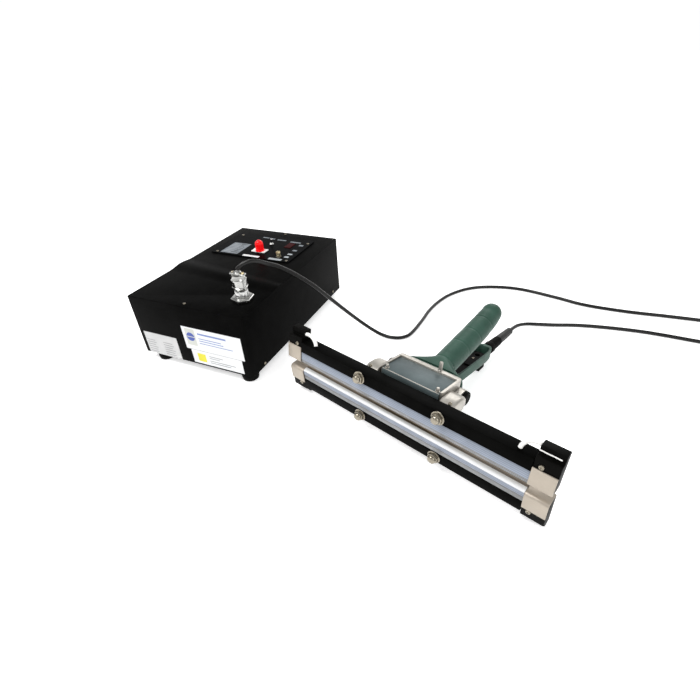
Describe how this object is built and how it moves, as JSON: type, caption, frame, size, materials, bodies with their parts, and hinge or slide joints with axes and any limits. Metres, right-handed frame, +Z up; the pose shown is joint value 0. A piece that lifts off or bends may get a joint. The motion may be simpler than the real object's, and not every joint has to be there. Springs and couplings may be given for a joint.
{
  "type": "impulse heat sealer",
  "caption": "Hand-held impulse heat sealing tongs with long straight jaws, cabled to a black control box with timer, lamp and switch.",
  "frame": {"origin": "centre of the base of the box round the control box and the tongs, on the floor, without the cable", "axes": "+X along the control box's width towards the tongs, +Y to the control box's rear, +Z up"},
  "size_m": [1.0574, 0.6082, 0.1994],
  "materials": {
    "case_paint": "satin black powder coat",
    "black_anodised": "black anodised, satin",
    "bare_aluminium": "extruded, satin",
    "cast_silver": "cast and bead blasted",
    "green_casting": "dark green enamel, semi gloss",
    "name_plate": "grey anodised",
    "nickel_steel": "nickel plated, satin",
    "connector_metal": "nickel plated, bright",
    "chrome_steel": "polished",
    "brass": "turned",
    "black_bakelite": "moulded, fine grain",
    "black_rubber": "matt",
    "silicone_pad": "smooth white silicone",
    "white_silicone": "matt white sleeve",
    "ptfe_film": "glass cloth with a PTFE coat",
    "white_plastic": "moulded",
    "red_lens": "clear red",
    "display_red": "dark red window",
    "circuit_board": "green lacquer",
    "laminated_core": "varnished"
  },
  "bodies": {
    "base": {"case_cover": "case_paint", "case_base": "case_paint", "panel_plate": "case_paint", "upper_bar": "black_anodised", "upper_block": "bare_aluminium", "jaw_lug_left": "cast_silver", "jaw_lug_right": "cast_silver", "lever": "green_casting", "upper_clip_left": "nickel_steel", "upper_clip_right": "nickel_steel", "upper_bolt_left": "nickel_steel", "upper_bolt_right": "nickel_steel", "timer_bushing": "nickel_steel", "return_spring": "nickel_steel", "socket_flange": "connector_metal", "plug_body": "connector_metal", "cable_clamp": "connector_metal", "pivot_shaft": "chrome_steel", "toggle_bushing": "chrome_steel", "upper_end_left": "black_bakelite", "upper_end_right": "black_bakelite", "shaft_cap_left": "black_bakelite", "shaft_cap_right": "black_bakelite", "lever_insert": "black_bakelite", "power_inlet": "black_bakelite", "fuse_holder": "black_bakelite", "foot_front_left": "black_rubber", "foot_front_right": "black_rubber", "foot_rear_left": "black_rubber", "foot_rear_right": "black_rubber", "lever_foot": "black_rubber", "cable_collar": "black_rubber", "cable_boot": "black_rubber", "cord_lead": "black_rubber", "cord_coil": "black_rubber", "cord_tail": "black_rubber", "wire_left": "white_silicone", "wire_right": "white_silicone", "heating_strip": "ptfe_film", "lamp_bezel": "white_plastic", "lamp_dome": "red_lens", "display_window": "display_red", "timer_board": "circuit_board", "transformer": "laminated_core"},
    "head": {"grip": "green_casting", "head_frame": "cast_silver", "nameplate": "name_plate", "lower_bracket": "cast_silver", "lower_bar": "black_anodised", "lower_block": "bare_aluminium", "seal_pad": "silicone_pad", "lower_end_left": "black_bakelite", "lower_end_right": "black_bakelite", "lower_clip_left": "nickel_steel", "lower_clip_right": "nickel_steel", "lower_bolt_left": "nickel_steel", "lower_bolt_right": "nickel_steel"},
    "toggle": {"toggle_lever": "chrome_steel"},
    "timer": {"timer_shaft": "brass"},
    "coupling": {"coupling_ring": "connector_metal"}
  },
  "joints": [
    {"name": "grip_hinge", "type": "hinge", "parent": "base", "child": "head", "pos_m": [0.1731, -0.10018, 0.077], "axis": [-0.9506, 0.3103, 0], "range_deg": [0, 11], "stiffness_Nm_per_rad": 4, "springref_deg": -20.05},
    {"name": "toggle_tilt", "type": "hinge", "parent": "base", "child": "toggle", "pos_m": [-0.23169, 0.15217, 0.1366], "axis": [0, 1, 0], "range_deg": [-24, 0]},
    {"name": "timer_turn", "type": "hinge", "parent": "base", "child": "timer", "pos_m": [-0.18349, 0.10087, 0.1421], "axis": [0, 0, 1], "range_deg": [-135, 135]},
    {"name": "coupling_turn", "type": "hinge", "parent": "base", "child": "coupling", "pos_m": [-0.15268, -0.06503, 0.1443], "axis": [0, 0, 1], "range_deg": [0, 90]}
  ]
}
